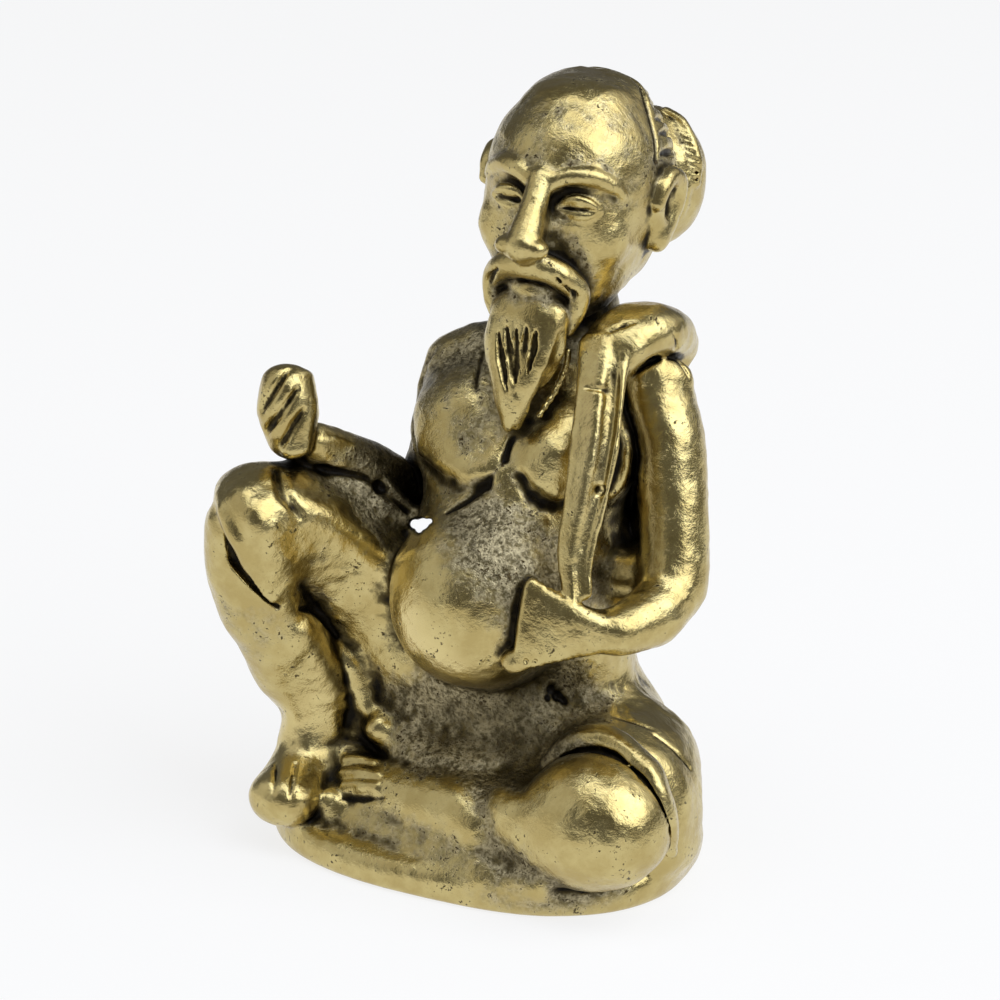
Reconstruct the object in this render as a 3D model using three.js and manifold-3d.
// A seated hermit amulet in cast brass, as the wax pieces that such a figure is built up from: a base plate,
// a lump for the hips, a trunk, rolled limbs, a head with its hair and beard, and strips of cloth.
// Millimetres, +Z up, the figure looks along -Y and its left is +X.
// The origin is in the middle of the base plate's underside.
import * as THREE from "three";
import { mergeVertices } from "three/addons/utils/BufferGeometryUtils.js";
import Module from "manifold-3d";

const wasm = await Module();
wasm.setup();

const v = (x, y, z) => new THREE.Vector3(x, y, z);

// Joint between two pieces: the gap that each one keeps from what it is seated on
const SEAM = 0.25;

// Base plate
const BASE_LENGTH = 21.2;
const BASE_DEPTH = 16.8;
const BASE_THICKNESS = 1.6;
const BASE_EDGE = 0.55; // rounding of the plate's edges
const BASE_SQUARENESS = 2.5; // exponent of the outline, where 2 is an ellipse
const BASE_TURN = 7; // degrees, the right foot's end of the plate turned forward

// Hips in their wrapped cloth: sections from the base plate up
const HIPS = {
  seat: { rise: SEAM, x: 0.7, y: 2.6, wide: 7.4, thick: 5.3 },
  hips: { rise: 3.2, x: 0.7, y: 2.6, wide: 7.6, thick: 5.5 },
  wrap: { rise: 3.0, x: 0.4, y: 2.8, wide: 5.9, thick: 5.1 },
  top: { rise: 1.8, x: 0.5, y: 2.8, wide: 5.1, thick: 4.6 },
};
// Cloth hanging from the right thigh to the plate behind the shin: places on the plate and radii
const DRAPE = {
  thigh: { at: v(-7.8, -1.4, 9.8), radius: 2.2 },
  middle: { at: v(-6.7, -0.8, 5.4), radius: 2.5 },
  foot: { at: v(-5.8, -0.2, 1.5), radius: 2.5 },
};
const LAP = { at: v(-0.4, -1.2, 4.4), radii: v(5.8, 3.6, 4.6) }; // cloth hanging between the thighs

// Trunk: sections from the top of the hips up, and the forms added to it
const TRUNK = {
  waist: { rise: -1.4, x: 0.7, y: 2.7, wide: 5.2, thick: 4.6 },
  belly: { rise: 5.4, x: 0.6, y: 1.5, wide: 5.2, thick: 5.0 },
  ribs: { rise: 4.6, x: 0.5, y: 1.0, wide: 4.8, thick: 4.8 },
  chest: { rise: 3.2, x: 0.6, y: 2.5, wide: 5.1, thick: 3.8 },
  shoulders: { rise: 2.4, x: 0.7, y: 3.2, wide: 4.7, thick: 3.0 },
  collar: { rise: 1.9, x: 0.8, y: 4.1, wide: 2.6, thick: 2.3 },
  neck: { rise: 2.6, x: 0.8, y: 4.2, wide: 2.1, thick: 2.0 },
};
const BELLY = { forward: 4.4, radii: v(4.4, 4.7, 4.5) };
const BREAST_SPREAD = 2.6; // each side of the middle
const BREAST = { forward: 1.6, drop: 0.8, radii: v(3.2, 3.1, 3.2) };

// Head, in its own frame: middle of the skull, face along -Y
const HEAD_RISE = 4.0; // skull's middle above the neck's top
const HEAD_FORWARD = 0.3;
const HEAD_TURN = 6; // degrees, towards the figure's left
const HEAD_TILT = -8; // degrees, looking up
const HEAD_HEIGHT = 11.6;
const HEAD_WIDTH = 8.5;
const HEAD_DEPTH = 10.0;
// Skull sections as shares of the head's height, depth, width and depth
const SKULL = [
  { z: -0.47, y: -0.27, wide: 0.17, thick: 0.13 },
  { z: -0.4, y: -0.2, wide: 0.29, thick: 0.23 },
  { z: -0.27, y: -0.07, wide: 0.4, thick: 0.37 },
  { z: -0.1, y: 0.0, wide: 0.47, thick: 0.46 },
  { z: 0.08, y: 0.02, wide: 0.5, thick: 0.49 },
  { z: 0.25, y: 0.03, wide: 0.46, thick: 0.46 },
  { z: 0.39, y: 0.03, wide: 0.33, thick: 0.34 },
];
const EYE_SPREAD = 1.75; // each side of the middle
const EYE_RADII = v(0.95, 0.5, 0.45);
const LIP_WIDTH = 2.0;
const LIP_ROLL = 0.4;
const NOSE_LENGTH = 2.7;
const NOSE_WIDTH = 1.7;
const NOSE_STANDS = 1.1; // in front of the face
const HAIR_THICKNESS = 0.4;
const HAIR_LINE = { y: 1.6, slope: 4 }; // front edge above the ears, and its lean in degrees
const NAPE_DROP = 3.6; // lower edge of the hair below the skull's middle
const BUN_RADII = v(3.1, 2.5, 3.5);
const BUN_ASIDE = 1.0; // towards the figure's left
const BUN_SINK = 1.3; // how far the bun is pressed into the hair
const TIE_RADIUS = 2.5;
const TIE_ROLL = 0.55;
const EAR_HEIGHT = 3.2;
const EAR_DEPTH = 1.9;
const EAR_STANDS = 0.5;
const BROW_LENGTH = 2.7;
const BROW_ROLL = 0.5;
const BROW_START = 0.75; // inner end from the middle of the face
const MOUSTACHE_SPREAD = 2.3;
const MOUSTACHE_DROP = 2.9;
const MOUSTACHE_ROLL = 0.62;
const BEARD_LENGTH = 5.1;
const BEARD_WIDTH = 4.2;
const BEARD_THICKNESS = 2.0;
const BEARD_TIP = 0.45;
const BEARD_CLEAR = 0.1; // between the lower lip and the beard

// Arms: each joint as a step from the one before it, with the roll's radius at each
const LEFT_ARM = {
  shoulder: v(5.3, 0.1, -0.4), // from the trunk's shoulder section
  toElbow: v(3.2, -2.9, -8.2),
  elbowBow: v(0.45, 0.0, -0.1), // how far the upper arm bows from a straight line
  toWrist: v(-0.9, -4.0, -1.3),
  wristBow: v(0.4, 0.0, -0.3),
  radii: { shoulder: 2.0, middle: 1.7, elbow: 1.6, wrist: 1.05 },
};
const RIGHT_ARM = {
  shoulder: v(-4.7, -1.0, -0.8),
  toElbow: v(-2.0, 0.0, -7.2),
  elbowBow: v(0.3, 0.3, 0.2),
  toWrist: v(-2.5, -6.1, 4.1),
  wristBow: v(0.3, 0.2, 0.1),
  radii: { shoulder: 2.0, middle: 1.65, elbow: 1.3, wrist: 1.0 },
};
const LEFT_HAND = { reach: v(-3.3, -2.0, 0.5), wide: 2.0, thick: 0.7 }; // a flat mitten
const RIGHT_FIST = { reach: v(-0.9, -1.2, 1.7), wide: 1.5, thick: 1.45, height: 4.7 };
// Lines between the fingers: degrees around the fist from its outer front, and height from its middle
const FINGER_LINES = [
  { from: [-21, 1.7], to: [-65, 0.0] },
  { from: [2, 0.7], to: [-48, -1.0] },
  { from: [27, -0.4], to: [-12, -1.7] },
];
const FINGER_LINE = 0.28; // radius of the cut

// Legs: hip and knee places in the part's frame above the base plate, then steps
const RIGHT_LEG = {
  hip: v(-2.7, 2.0, 5.8),
  knee: v(-10.2, -7.0, 15.4),
  ankle: v(-8.0, -3.2, 3.2),
  thighBow: v(-1.5, 0.0, 2.4), // how far the thigh bows from a straight line
  calfBow: v(-0.6, -0.6, 0.3),
  thigh: { hip: [3.3, 3.9], middle: [3.0, 3.4], knee: [2.6, 2.6] },
  shin: { knee: 2.15, calf: 2.1, ankle: 1.5 },
  kneeCap: 0.6, // how far the knee bulges past the shin, as a share of its radius
};
const LEFT_LEG = {
  hip: v(5.5, 2.7, 3.4),
  knee: v(8.6, -5.0, 3.05),
  ankle: v(-3.2, -4.1, 1.6),
  thighBow: v(0, 0, 0),
  calfBow: v(-1.4, -0.4, -0.5),
  thigh: { hip: [4.2, 3.7], middle: [4.4, 3.5], knee: [3.9, 3.3] },
  shin: { knee: 3.05, calf: 2.1, ankle: 1.55 },
  kneeCap: 1.2,
};
const LEFT_CLOTH_END = 0.68; // where the cloth ends, as a share of the thigh
const RIGHT_CLOTH_END = 1.0;
// Edge of the cloth at the right knee, where the shin comes out: two cuts, each with its direction and its distance
// from the knee, and places along the edge as steps from the knee
const RIGHT_OPENING = [
  { towards: v(-0.74, -0.55, -0.38), past: 1.3 },
  { towards: v(-0.48, -0.67, -0.57), past: 1.7 },
];
const RIGHT_HEM = [
  v(-1.5, -1.2, 1.05),
  v(-0.45, -2.05, 0.5),
  v(0.45, -2.4, -0.6),
  v(1.1, -2.1, -2.05),
  v(2.1, -0.8, -3.75),
];
const RIGHT_FOOT = { reach: v(0.7, -5.6, 0), heel: 0.4, wide: 1.4, thick: 1.15 };
const LEFT_FOOT = { reach: v(-2.4, -0.2, 0), heel: 0.3, wide: 0.95, thick: 1.35 };
const TOE_ROLL = 0.5;
const TOE_LINE = 0.25; // radius of the cuts between the right toes
const HEM_ROLL = 0.35; // folded edge of the cloth over the right knee
const HEM_BAND = { wide: 0.75, thick: 0.45 }; // and around the left one

// Shoulder cloth: a strip from the left hand over the left shoulder and down the back
const SASH_WIDTH = 2.5;
const SASH_THICKNESS = 1.1;
const SASH_FOOT_WIDTH = 1.4; // where the hand holds it
const SASH_FOLD = { wide: 1.35, thick: 1.9 }; // swelling of the fold on top of the shoulder
const SASH_BACK_LENGTH = 9.0;

// Facets
const TRUNK_SIDES = 22;
const LIMB_SIDES = 13;
const ROLL_SIDES = 8;
const STEPS = 2; // rings between two sections
const CAP_RINGS = 3;
const BASE_SIDES = 48;

const BRASS = { color: 0xb79a55, roughness: 0.32, metalness: 1.0 };

// A closed skin over rings of points, with an end point before the first ring and after the last.
function skin(start, rings, end) {
  const sides = rings[0].length;
  const points = [start, ...rings.flat(), end];
  const last = points.length - 1;
  const faces = [];
  const corner = (ring, i) => 1 + ring * sides + (i % sides);
  for (let i = 0; i < sides; i++) {
    faces.push(0, corner(0, i + 1), corner(0, i));
    faces.push(last, corner(rings.length - 1, i), corner(rings.length - 1, i + 1));
    for (let r = 0; r + 1 < rings.length; r++) {
      faces.push(corner(r, i), corner(r, i + 1), corner(r + 1, i + 1));
      faces.push(corner(r, i), corner(r + 1, i + 1), corner(r + 1, i));
    }
  }
  const geometry = new THREE.BufferGeometry().setFromPoints(points);
  return geometry.setIndex(faces);
}

// A three.js geometry as a solid that can be joined and cut, its faces turned outwards.
function solidOf(geometry) {
  const bare = geometry.clone();
  bare.deleteAttribute("normal");
  bare.deleteAttribute("uv");
  const merged = mergeVertices(bare);
  const vertProperties = new Float32Array(merged.attributes.position.array);
  const triVerts = new Uint32Array(merged.index.array);
  const solid = new wasm.Manifold(new wasm.Mesh({ numProp: 3, vertProperties, triVerts }));
  if (solid.volume() > 0) return solid;
  return new wasm.Manifold(new wasm.Mesh({ numProp: 3, vertProperties, triVerts: triVerts.reverse() }));
}

// One ring of a section square to the line: an ellipse, or a softened rectangle where square is over 2.
function ringAt(at, along, side, wide, thick, sides, square) {
  const across = side.clone().addScaledVector(along, -side.dot(along)).normalize();
  const up = along.clone().cross(across);
  const soft = (x) => Math.sign(x) * Math.abs(x) ** (2 / square);
  return Array.from({ length: sides }, (_, i) => {
    const turn = (2 * Math.PI * i) / sides;
    const point = at.clone().addScaledVector(across, wide * soft(Math.cos(turn)));
    return point.addScaledVector(up, thick * soft(Math.sin(turn)));
  });
}

// A roll of wax: sections carried along a smooth line through the stations, with both ends rounded off.
function roll(stations, grow, options = {}) {
  const { side = v(1, 0, 0), sides = LIMB_SIDES, steps = STEPS } = options;
  const { square = 2, round = 1, caps = CAP_RINGS } = options;
  const line = new THREE.CatmullRomCurve3(stations.map((s) => s.at));
  const spread = new THREE.CatmullRomCurve3(stations.map((s) => v(s.wide + grow, s.thick + grow, 0)));
  const count = (stations.length - 1) * steps;
  const rings = [];
  const addRing = (u, past, share) => {
    const along = line.getTangent(u);
    const size = spread.getPoint(u).multiplyScalar(share);
    const at = line.getPoint(u).addScaledVector(along, past);
    rings.push(ringAt(at, along, side, size.x, size.y, sides, square));
  };
  const capOf = (u) => {
    const size = spread.getPoint(u);
    return grow + round * (Math.min(size.x, size.y) - grow);
  };
  const [firstCap, lastCap] = [capOf(0), capOf(1)];
  const capTurn = (k) => (k / caps) * (Math.PI / 2);
  for (let k = caps - 1; k > 0; k--) addRing(0, -firstCap * Math.sin(capTurn(k)), Math.cos(capTurn(k)));
  for (let k = 0; k <= count; k++) addRing(k / count, 0, 1);
  for (let k = 1; k < caps; k++) addRing(1, lastCap * Math.sin(capTurn(k)), Math.cos(capTurn(k)));
  const start = line.getPoint(0).addScaledVector(line.getTangent(0), -firstCap);
  const end = line.getPoint(1).addScaledVector(line.getTangent(1), lastCap);
  return solidOf(skin(start, rings, end));
}

const station = (at, wide, thick = wide) => ({ at, wide, thick });
const between = (a, b, share) => a.clone().lerp(b, share);
const plus = (a, b) => a.clone().add(b);

// An egg: a sphere stretched to three radii.
function egg(at, radii, grow, sides = LIMB_SIDES) {
  const sphere = new THREE.SphereGeometry(1, sides, Math.ceil(sides / 2) + 2);
  sphere.scale(radii.x + grow, radii.y + grow, radii.z + grow);
  return solidOf(sphere.translate(at.x, at.y, at.z));
}

// The same solid in another frame.
function placed(solid, matrix) {
  return solidOf(geometryOf(solid).applyMatrix4(matrix));
}

function geometryOf(solid) {
  const { numProp, vertProperties, triVerts } = solid.getMesh();
  const geometry = new THREE.BufferGeometry();
  geometry.setAttribute("position", new THREE.BufferAttribute(new Float32Array(vertProperties), numProp));
  return geometry.setIndex(new THREE.BufferAttribute(new Uint32Array(triVerts), 1));
}

// Sections stacked upwards: each one's height is the sum of the rises up to it.
function stacked(sections, floor) {
  let height = floor;
  const place = ([name, s]) => {
    height += s.rise;
    return [name, station(v(s.x, s.y, height), s.wide, s.thick)];
  };
  return Object.fromEntries(Object.entries(sections).map(place));
}

const hips = stacked(HIPS, BASE_THICKNESS);
const trunk = stacked(TRUNK, hips.top.at.z);
const onBase = (place) => plus(place, v(0, 0, BASE_THICKNESS));

// Base plate: an outline between an ellipse and a rectangle, with rounded edges and a flat underside.
function basePlate(grow) {
  const lengthwise = v(1, 0, 0).applyAxisAngle(v(0, 0, 1), THREE.MathUtils.degToRad(BASE_TURN));
  const outline = (inset, z) =>
    ringAt(v(0, 0, z), v(0, 0, 1), lengthwise, BASE_LENGTH / 2 + grow - inset, BASE_DEPTH / 2 + grow - inset,
      BASE_SIDES, BASE_SQUARENESS);
  const edge = BASE_EDGE + grow;
  const [low, high] = [-grow, BASE_THICKNESS + grow];
  const inset = (share) => edge * (1 - Math.sin((share * Math.PI) / 2));
  const drop = (share) => edge * (1 - Math.cos((share * Math.PI) / 2));
  const rings = [
    outline(inset(0.5) / 2, low),
    outline(0, low + edge / 2),
    outline(0, high - edge),
    outline(inset(0.5), high - drop(0.5)),
    outline(inset(0), high),
  ];
  return solidOf(skin(v(0, 0, low), rings, v(0, 0, high)));
}

// Hips: a lump of wrapped cloth that stands on the plate, with the lap hanging between the thighs.
function hipCloth(grow) {
  const lump = roll(Object.values(hips), grow, { sides: TRUNK_SIDES, round: 0.05 });
  const drape = roll(Object.values(DRAPE).map((s) => station(onBase(s.at), s.radius)), grow);
  return lump.add(egg(onBase(LAP.at), LAP.radii, grow, TRUNK_SIDES - 8)).add(drape);
}

// Trunk with belly, breasts and neck.
function torso(grow) {
  const body = roll(Object.values(trunk), grow, { sides: TRUNK_SIDES, round: 0.3 });
  const belly = plus(trunk.belly.at, v(0, -BELLY.forward, 0));
  const chest = trunk.chest.at;
  const breasts = [-1, 1].map((s) => plus(chest, v(s * BREAST_SPREAD, -BREAST.forward, -BREAST.drop)));
  return breasts.reduce(
    (sum, at) => sum.add(egg(at, BREAST.radii, grow)),
    body.add(egg(belly, BELLY.radii, grow, TRUNK_SIDES - 6)),
  );
}

// Head frame and the pieces in it.
const head = new THREE.Group();
head.name = "head_group";
head.position.copy(plus(trunk.neck.at, v(0, -HEAD_FORWARD, HEAD_RISE)));
head.rotation.set(THREE.MathUtils.degToRad(HEAD_TILT), 0, THREE.MathUtils.degToRad(HEAD_TURN), "ZYX");
head.updateMatrixWorld();

const faceAt = (z) => {
  // front of the skull at a height, read from its sections
  const next = SKULL.findIndex((s) => s.z * HEAD_HEIGHT >= z);
  const [a, b] = [SKULL[Math.max(next - 1, 0)], SKULL[Math.max(next, 1)]];
  const share = (z / HEAD_HEIGHT - a.z) / (b.z - a.z);
  const lerp = THREE.MathUtils.lerp;
  return {
    y: (lerp(a.y, b.y, share) - lerp(a.thick, b.thick, share)) * HEAD_DEPTH,
    middle: lerp(a.y, b.y, share) * HEAD_DEPTH,
    wide: lerp(a.wide, b.wide, share) * HEAD_WIDTH,
    thick: lerp(a.thick, b.thick, share) * HEAD_DEPTH,
  };
};
// A point on the face: a distance to the side and a height.
function onFace(x, z, stands = 0) {
  const f = faceAt(z);
  return v(x, f.middle - (f.thick + stands) * Math.sqrt(Math.max(0, 1 - (x / f.wide) ** 2)), z);
}

const skull = (grow) =>
  roll(
    SKULL.map((s) => ({
      at: v(0, s.y * HEAD_DEPTH, s.z * HEAD_HEIGHT),
      wide: s.wide * HEAD_WIDTH,
      thick: s.thick * HEAD_DEPTH,
    })),
    grow,
    { sides: TRUNK_SIDES - 4, steps: 2, round: 0.45 },
  );

// Eyes sit half-way up the head; the nose ends half-way from the eyes to the chin.
const noseBase = -HEAD_HEIGHT / 4 + NOSE_LENGTH * 0.3;
const lipHeight = noseBase - 1.7;
function headSolid(grow) {
  const bridge = onFace(0, noseBase + NOSE_LENGTH);
  const tip = onFace(0, noseBase, NOSE_STANDS);
  const nose = roll(
    [
      station(bridge, NOSE_WIDTH * 0.3),
      station(between(bridge, tip, 0.6), NOSE_WIDTH * 0.36, NOSE_WIDTH * 0.42),
      station(tip, NOSE_WIDTH / 2),
    ],
    grow,
    { sides: ROLL_SIDES + 2 },
  );
  const eyes = [-1, 1].map((s) => egg(onFace(s * EYE_SPREAD, 0), EYE_RADII, grow, ROLL_SIDES));
  const lip = egg(onFace(0, lipHeight), v(LIP_WIDTH / 2, LIP_ROLL, LIP_ROLL), grow, ROLL_SIDES);
  return [...eyes, nose, lip].reduce((sum, form) => sum.add(form), skull(grow));
}

// Hair: a cap over the back of the skull, behind a leaning hair line and above the nape.
function hairCap(grow) {
  const span = 2 * HEAD_HEIGHT;
  const room = new THREE.BoxGeometry(span, span, span);
  room.translate(0, span / 2, span / 2).translate(0, HAIR_LINE.y - grow, -grow);
  room.rotateX(THREE.MathUtils.degToRad(HAIR_LINE.slope)).translate(0, 0, -NAPE_DROP);
  return skull(HAIR_THICKNESS + grow).intersect(solidOf(room));
}
const bunMiddle = v(BUN_ASIDE, HEAD_DEPTH / 2 + HAIR_THICKNESS + BUN_RADII.y - BUN_SINK, HEAD_HEIGHT / 34);
const hairBun = (grow) => egg(bunMiddle, BUN_RADII, grow, LIMB_SIDES + 2);
function hairTie(grow) {
  const ring = new THREE.TorusGeometry(TIE_RADIUS, TIE_ROLL + grow, ROLL_SIDES, TRUNK_SIDES - 2);
  ring.rotateX(Math.PI / 2).translate(bunMiddle.x, bunMiddle.y - BUN_RADII.y + BUN_SINK, bunMiddle.z);
  return solidOf(ring);
}

// An ear: a curled roll on the side of the head, from the brow's height to the nose's base.
function ear(sign, grow) {
  const top = noseBase + EAR_HEIGHT;
  const seat = (y, z, out) => {
    const f = faceAt(z);
    return v(sign * (f.wide * Math.sqrt(Math.max(0, 1 - ((y - f.middle) / f.thick) ** 2)) + out), y, z);
  };
  const stations = [
    station(seat(-EAR_DEPTH / 4, top - EAR_HEIGHT * 0.3, 0.1), 0.5),
    station(seat(EAR_DEPTH * 0.2, top, EAR_STANDS * 0.6), 0.62),
    station(seat(EAR_DEPTH * 0.75, top - EAR_HEIGHT * 0.35, EAR_STANDS), 0.66),
    station(seat(EAR_DEPTH * 0.35, top - EAR_HEIGHT * 0.75, EAR_STANDS * 0.7), 0.62),
    station(seat(0, noseBase, EAR_STANDS * 0.5), 0.66),
  ];
  return roll(stations, grow, { caps: 2, sides: ROLL_SIDES, side: v(1, 0, 0) });
}

// An eyebrow: a tapered roll above the eye.
function eyebrow(sign, grow) {
  const z = HEAD_HEIGHT * 0.1;
  const at = (x, rise) => onFace(sign * x, z + rise, 0.2);
  const stations = [
    station(at(BROW_START, -0.15), BROW_ROLL, BROW_ROLL * 1.1),
    station(at(BROW_START + BROW_LENGTH * 0.5, 0.3), BROW_ROLL, BROW_ROLL * 1.1),
    station(at(BROW_START + BROW_LENGTH, -0.35), BROW_ROLL * 0.7),
  ];
  return roll(stations, grow, { caps: 2, sides: ROLL_SIDES, side: v(0, 1, 0) });
}

// Moustache: one roll that droops on both sides of the mouth to the beard.
function moustache(grow) {
  const top = noseBase - 0.75;
  const half = (s) => [
    station(onFace(s * MOUSTACHE_SPREAD * 0.8, top - MOUSTACHE_DROP, 0.5), MOUSTACHE_ROLL * 0.6),
    station(onFace(s * MOUSTACHE_SPREAD, top - MOUSTACHE_DROP * 0.55, 0.3), MOUSTACHE_ROLL * 0.85),
    station(onFace(s * MOUSTACHE_SPREAD * 0.6, top - MOUSTACHE_DROP * 0.1, 0.35), MOUSTACHE_ROLL),
  ];
  const stations = [...half(-1), station(onFace(0, top, 0.45), MOUSTACHE_ROLL), ...half(1).reverse()];
  return roll(stations, grow, { caps: 2, sides: ROLL_SIDES, side: v(0, 1, 0), steps: 2 });
}

// Beard: a flat tapering tuft that hangs straight down from the chin, below the lower lip.
const chin = onFace(0, lipHeight - LIP_ROLL - BEARD_CLEAR).applyMatrix4(head.matrixWorld);
function beard(grow) {
  const at = (share, out) => plus(chin, v(0.2 * share, -out, -BEARD_THICKNESS / 2 - share * BEARD_LENGTH));
  const stations = [
    station(at(0, 0.1), BEARD_WIDTH * 0.46, BEARD_THICKNESS * 0.45),
    station(at(0.3, 0.5), BEARD_WIDTH / 2, BEARD_THICKNESS / 2),
    station(at(0.65, 1.2), BEARD_WIDTH * 0.32, BEARD_THICKNESS * 0.42),
    station(at(1, 1.7), BEARD_TIP),
  ];
  return roll(stations, grow, { sides: LIMB_SIDES });
}

// Arms: an upper arm and a forearm that meet at the elbow.
function armJoints(arm) {
  const shoulder = plus(trunk.shoulders.at, arm.shoulder);
  const elbow = plus(shoulder, arm.toElbow);
  return { shoulder, elbow, wrist: plus(elbow, arm.toWrist) };
}
function upperArm(arm, grow) {
  const { shoulder, elbow } = armJoints(arm);
  const middle = plus(between(shoulder, elbow, 0.5), arm.elbowBow);
  const r = arm.radii;
  const inner = between(shoulder, trunk.collar.at, 0.42);
  return roll(
    [
      station(inner, r.shoulder * 0.8),
      station(shoulder, r.shoulder),
      station(middle, r.middle),
      station(elbow, r.elbow),
    ],
    grow,
    { side: v(0, 1, 0) },
  );
}
function forearm(arm, grow) {
  const { elbow, wrist } = armJoints(arm);
  const middle = plus(between(elbow, wrist, 0.5), arm.wristBow);
  const r = arm.radii;
  return roll(
    [station(elbow, r.elbow), station(middle, (r.elbow + r.wrist) / 2), station(wrist, r.wrist)],
    grow,
    { side: v(0, 0, 1) },
  );
}

// Left hand: a flat mitten that widens from the wrist to a straight row of fingertips on the belly.
function leftHand(grow) {
  const { wrist } = armJoints(LEFT_ARM);
  const tips = plus(wrist, LEFT_HAND.reach);
  const wristRadius = LEFT_ARM.radii.wrist;
  return roll(
    [
      station(between(wrist, tips, 0.1), wristRadius, wristRadius * 0.85),
      station(between(wrist, tips, 0.55), (wristRadius + LEFT_HAND.wide) / 2, LEFT_HAND.thick * 1.1),
      station(tips, LEFT_HAND.wide, LEFT_HAND.thick),
    ],
    grow,
    { side: v(0.25, 0, 1), square: 2.6 },
  );
}

// Right hand: a closed fist standing up from the wrist, with slanting lines cut between the fingers.
function rightFist(grow) {
  const { wrist } = armJoints(RIGHT_ARM);
  const middle = plus(wrist, RIGHT_FIST.reach);
  const half = v(-0.15, 0, RIGHT_FIST.height / 2 - RIGHT_FIST.thick * 0.8);
  const fist = roll(
    [
      station(middle.clone().sub(half), RIGHT_FIST.wide * 0.78, RIGHT_FIST.thick * 0.8),
      station(middle, RIGHT_FIST.wide, RIGHT_FIST.thick),
      station(plus(middle, half), RIGHT_FIST.wide * 0.84, RIGHT_FIST.thick * 0.8),
    ],
    grow,
  );
  const outward = ([degrees, height], share) => {
    const side = v(0.47, -0.88, 0).applyAxisAngle(v(0, 0, 1), THREE.MathUtils.degToRad(degrees));
    const reach = RIGHT_FIST.wide * share * (1 - 0.05 * height ** 2);
    return plus(middle, side.multiplyScalar(reach)).add(v(0, 0, height));
  };
  const cut = (line) => {
    const middleOfLine = [0, 1].map((i) => (line.from[i] + line.to[i]) / 2);
    const places = [line.from, middleOfLine, line.to].map((p) => outward(p, 1.02));
    const stations = places.map((at) => station(at, FINGER_LINE + grow));
    return roll(stations, -grow, { caps: 2, sides: ROLL_SIDES, side: v(1, 0, 0) });
  };
  return FINGER_LINES.reduce((hand, line) => hand.subtract(cut(line)), fist);
}

// Legs: a thigh wrapped in cloth and a bare shin.
function thigh(leg, grow, side, clothEnd) {
  const hip = onBase(leg.hip);
  const end = between(hip, onBase(leg.knee), clothEnd);
  const middle = plus(between(hip, end, 0.5), leg.thighBow);
  const t = leg.thigh;
  return roll(
    [station(hip, ...t.hip), station(middle, ...t.middle), station(end, ...t.knee)],
    grow,
    { side, sides: LIMB_SIDES + 4, round: 0.75 * clothEnd ** 4 },
  );
}
function shin(leg, grow) {
  const [knee, ankle] = [onBase(leg.knee), onBase(leg.ankle)];
  const calf = plus(between(knee, ankle, 0.42), leg.calfBow);
  return roll(
    [station(knee, leg.shin.knee), station(calf, leg.shin.calf), station(ankle, leg.shin.ankle)],
    grow,
    { side: v(0.3, 1, 0.2), round: leg.kneeCap },
  );
}
// The right thigh's cloth ends in a slanting opening over the knee.
function rightThigh(grow) {
  const knee = onBase(RIGHT_LEG.knee);
  return RIGHT_OPENING.reduce((cloth, { towards, past }) => {
    const inward = towards.clone().normalize().negate();
    return cloth.trimByPlane(inward.toArray(), inward.dot(knee) - past - grow);
  }, thigh(RIGHT_LEG, grow, RIGHT_THIGH_SIDE, RIGHT_CLOTH_END));
}
const RIGHT_THIGH_SIDE = v(0.8, -0.6, 0);
const LEFT_THIGH_SIDE = v(0.86, 0.5, 0);

// A foot that lies on the plate: a point along it from the ankle, and its sole from the heel to the toes.
function alongFoot(leg, shape, length, lift) {
  const ankle = onBase(leg.ankle);
  const at = v(ankle.x, ankle.y, BASE_THICKNESS + SEAM + shape.thick + lift);
  return at.addScaledVector(shape.reach.clone().normalize(), length);
}
function sole(leg, shape, grow) {
  const length = shape.reach.length();
  const side = v(-shape.reach.y, shape.reach.x, 0);
  const at = (share, lift) => alongFoot(leg, shape, share * length, lift);
  return roll(
    [
      station(alongFoot(leg, shape, -shape.heel, 0.25), shape.wide * 0.75, shape.thick),
      station(at(0.5, 0.1), shape.wide * 0.9, shape.thick),
      station(at(0.8, 0), shape.wide, shape.thick * 0.85),
    ],
    grow,
    { side },
  );
}
// The right foot is flat on the plate, with short lines cut between its toes.
function rightFoot(grow) {
  const length = RIGHT_FOOT.reach.length();
  const cut = (k) => {
    const aside = v(k * RIGHT_FOOT.wide * 0.45, 0, 0);
    const at = (share, lift) => alongFoot(RIGHT_LEG, RIGHT_FOOT, share * length, lift).add(aside);
    const stations = [
      station(at(0.6, RIGHT_FOOT.thick), TOE_LINE),
      station(at(0.9, RIGHT_FOOT.thick * 0.75), TOE_LINE),
      station(at(1.15, -0.2), TOE_LINE),
    ];
    return roll(stations, 0, { caps: 2, sides: ROLL_SIDES });
  };
  return [-1, 0, 1].reduce((foot, k) => foot.subtract(cut(k)), sole(RIGHT_LEG, RIGHT_FOOT, grow));
}
// The left foot lies on its outer edge, with its toes as rolls one above the other.
function leftFoot(grow) {
  const length = LEFT_FOOT.reach.length();
  const toe = (k) => {
    const lift = k * LEFT_FOOT.thick * 0.5;
    const at = (share) => alongFoot(LEFT_LEG, LEFT_FOOT, share * length, lift);
    const stations = [station(at(0.6), TOE_ROLL), station(at(1.05), TOE_ROLL)];
    return roll(stations, grow, { caps: 2, sides: ROLL_SIDES, side: v(0, 0, 1) });
  };
  return [-1.5, -0.5, 0.5, 1.5].reduce((foot, k) => foot.add(toe(k)), sole(LEFT_LEG, LEFT_FOOT, grow));
}

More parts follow.
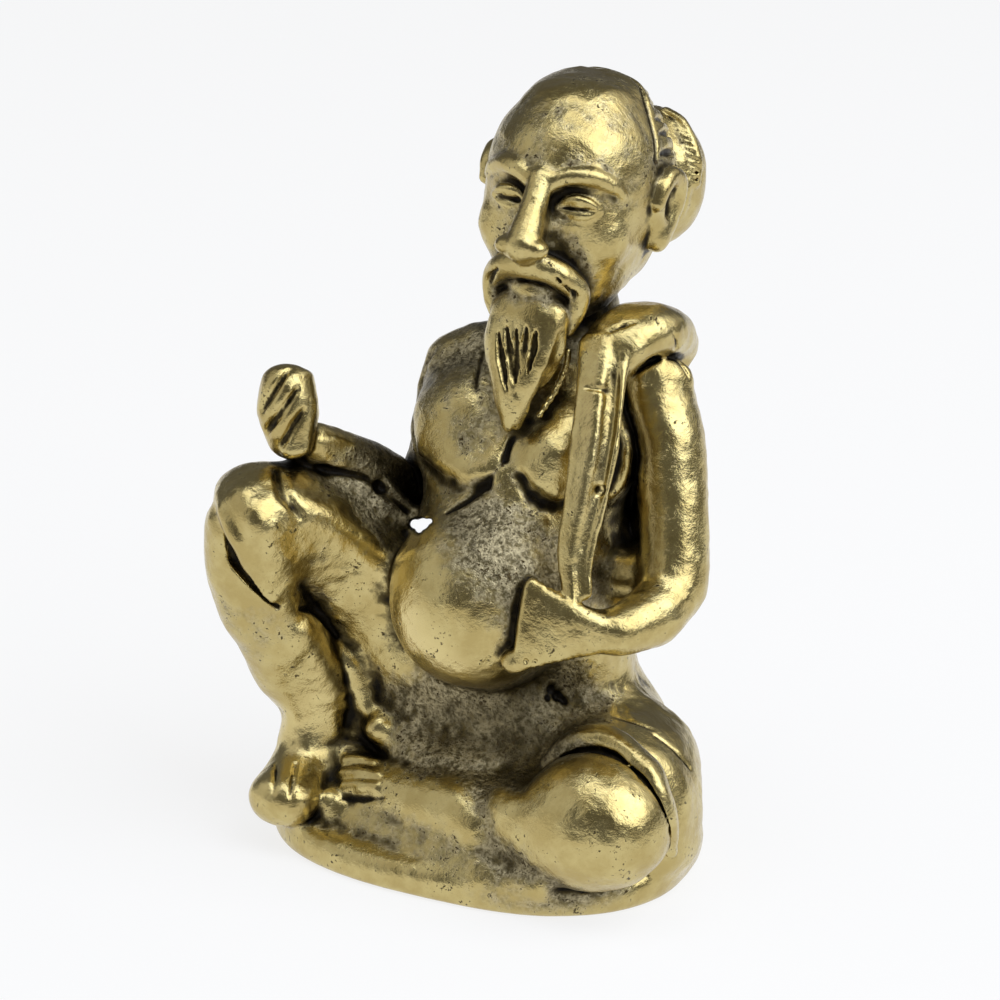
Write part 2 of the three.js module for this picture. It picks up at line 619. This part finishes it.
// A hem: a roll of folded cloth. The left one follows part of a ring around the thigh, where its cloth ends.
function leftHem(grow) {
  const [hip, knee] = [onBase(LEFT_LEG.hip), onBase(LEFT_LEG.knee)];
  const along = knee.clone().sub(hip).normalize();
  const middle = between(hip, knee, LEFT_CLOTH_END);
  const across = LEFT_THIGH_SIDE.clone().addScaledVector(along, -LEFT_THIGH_SIDE.dot(along)).normalize();
  const up = along.clone().cross(across);
  const [wide, thick] = LEFT_LEG.thigh.knee;
  const steps = 6;
  const stations = Array.from({ length: steps + 1 }, (_, i) => {
    const turn = THREE.MathUtils.degToRad(-50 + (200 * i) / steps);
    const at = middle.clone().addScaledVector(across, Math.cos(turn) * wide);
    const end = i % steps ? 1 : 0.5;
    return station(at.addScaledVector(up, Math.sin(turn) * thick), HEM_BAND.wide * end, HEM_BAND.thick * end);
  });
  return roll(stations, grow, { caps: 2, sides: ROLL_SIDES, side: along, steps: 2 });
}
function rightHem(grow) {
  const knee = onBase(RIGHT_LEG.knee);
  const stations = RIGHT_HEM.map((step) => station(plus(knee, step), HEM_ROLL));
  return roll(stations, grow, { caps: 2, sides: ROLL_SIDES, side: v(0, 1, 0) });
}

// Shoulder cloth in three lengths: front, over the shoulder, and down the back.
const leftShoulder = armJoints(LEFT_ARM).shoulder;
const handTop = between(armJoints(LEFT_ARM).wrist, plus(armJoints(LEFT_ARM).wrist, LEFT_HAND.reach), 0.45);
const crest = plus(leftShoulder, v(-0.3, -0.3, LEFT_ARM.radii.shoulder + SASH_THICKNESS * 1.15));
const frontBend = plus(leftShoulder, v(-0.9, -3.1, 2.6));
const backBend = plus(leftShoulder, v(-1.0, 2.6, 1.8));
function sashFront(grow) {
  const foot = plus(handTop, v(0, 0, LEFT_HAND.wide * 0.8));
  const stations = [
    station(frontBend, SASH_WIDTH / 2, SASH_THICKNESS / 2),
    station(between(frontBend, foot, 0.33).add(v(0.2, -0.6, 0)), SASH_WIDTH / 2, SASH_THICKNESS / 2),
    station(between(frontBend, foot, 0.7).add(v(0, -0.5, 0)), SASH_WIDTH * 0.42, SASH_THICKNESS / 2),
    station(foot, SASH_FOOT_WIDTH / 2, SASH_THICKNESS * 0.45),
  ];
  return roll(stations, grow, { side: v(0.9, 0.42, 0), square: 3, round: 0.4 });
}
function sashShoulder(grow) {
  const [wide, thick] = [SASH_WIDTH / 2, SASH_THICKNESS / 2];
  const stations = [
    station(frontBend, wide, thick),
    station(between(frontBend, crest, 0.5).add(v(0, -0.3, 0.5)), wide * 1.1, thick * 1.5),
    station(crest, wide * SASH_FOLD.wide, thick * SASH_FOLD.thick),
    station(backBend, wide * SASH_FOLD.wide, thick * SASH_FOLD.wide),
  ];
  return roll(stations, grow, { side: v(1, 0.2, 0), square: 2.6, round: 0.6 });
}
function sashBack(grow) {
  const end = plus(backBend, v(-1.6, -0.2, -SASH_BACK_LENGTH));
  const stations = [
    station(backBend, SASH_WIDTH * 0.6, SASH_THICKNESS * 0.6),
    station(between(backBend, end, 0.4).add(v(0, 0.3, 0)), SASH_WIDTH * 0.55, SASH_THICKNESS / 2),
    station(end, SASH_WIDTH * 0.6, SASH_THICKNESS * 0.45),
  ];
  return roll(stations, grow, { side: v(1, 0.2, 0), square: 3, round: 0.5 });
}

// The groups of the figure and their pieces, in the order in which they are put on.
const inHead = (build) => (grow) => placed(build(grow), head.matrixWorld);
function groupAt(name, place) {
  const group = new THREE.Group();
  group.name = name;
  group.position.copy(place);
  return group;
}
const groups = [
  [groupAt("seat", v(0, 0, 0)), { base_plate: basePlate, hip_cloth: hipCloth, torso }],
  [
    groupAt("right_leg", onBase(RIGHT_LEG.hip)),
    {
      right_thigh: rightThigh,
      right_shin: (grow) => shin(RIGHT_LEG, grow),
      right_foot: rightFoot,
      right_knee_hem: rightHem,
    },
  ],
  [
    groupAt("left_leg", onBase(LEFT_LEG.hip)),
    {
      left_thigh: (grow) => thigh(LEFT_LEG, grow, LEFT_THIGH_SIDE, LEFT_CLOTH_END),
      left_shin: (grow) => shin(LEFT_LEG, grow),
      left_foot: leftFoot,
      left_knee_hem: leftHem,
    },
  ],
  [
    head,
    {
      head: inHead(headSolid),
      hair_cap: inHead(hairCap),
      hair_bun: inHead(hairBun),
      hair_tie: inHead(hairTie),
      left_ear: inHead((grow) => ear(1, grow)),
      right_ear: inHead((grow) => ear(-1, grow)),
      left_eyebrow: inHead((grow) => eyebrow(1, grow)),
      right_eyebrow: inHead((grow) => eyebrow(-1, grow)),
      beard,
      moustache: inHead(moustache),
    },
  ],
  [
    groupAt("left_arm", armJoints(LEFT_ARM).shoulder),
    {
      left_upper_arm: (grow) => upperArm(LEFT_ARM, grow),
      left_forearm: (grow) => forearm(LEFT_ARM, grow),
      left_hand: leftHand,
    },
  ],
  [
    groupAt("right_arm", armJoints(RIGHT_ARM).shoulder),
    {
      right_upper_arm: (grow) => upperArm(RIGHT_ARM, grow),
      right_forearm: (grow) => forearm(RIGHT_ARM, grow),
      right_hand: rightFist,
    },
  ],
  [groupAt("sash", crest), { sash_shoulder: sashShoulder, sash_front: sashFront, sash_back: sashBack }],
];

// The largest body that is left after the cuts; crumbs cut off beside it are dropped.
function mainBody(solid) {
  return solid.decompose().reduce((a, b) => (b.volume() > a.volume() ? b : a));
}

// Each piece is cut by all the earlier ones, grown by the seam, and then set into its own group.
const figure = new THREE.Group();
const earlier = [];
for (const [group, pieces] of groups) {
  figure.add(group);
  group.updateMatrixWorld();
  const toGroup = group.matrixWorld.clone().invert();
  for (const [name, build] of Object.entries(pieces)) {
    const cut = earlier.reduce((solid, other) => solid.subtract(other), build(0));
    earlier.push(build(SEAM));
    const geometry = geometryOf(mainBody(cut)).applyMatrix4(toGroup);
    const mesh = new THREE.Mesh(geometry, new THREE.MeshStandardMaterial(BRASS));
    mesh.name = name;
    group.add(mesh);
  }
}

export default figure;
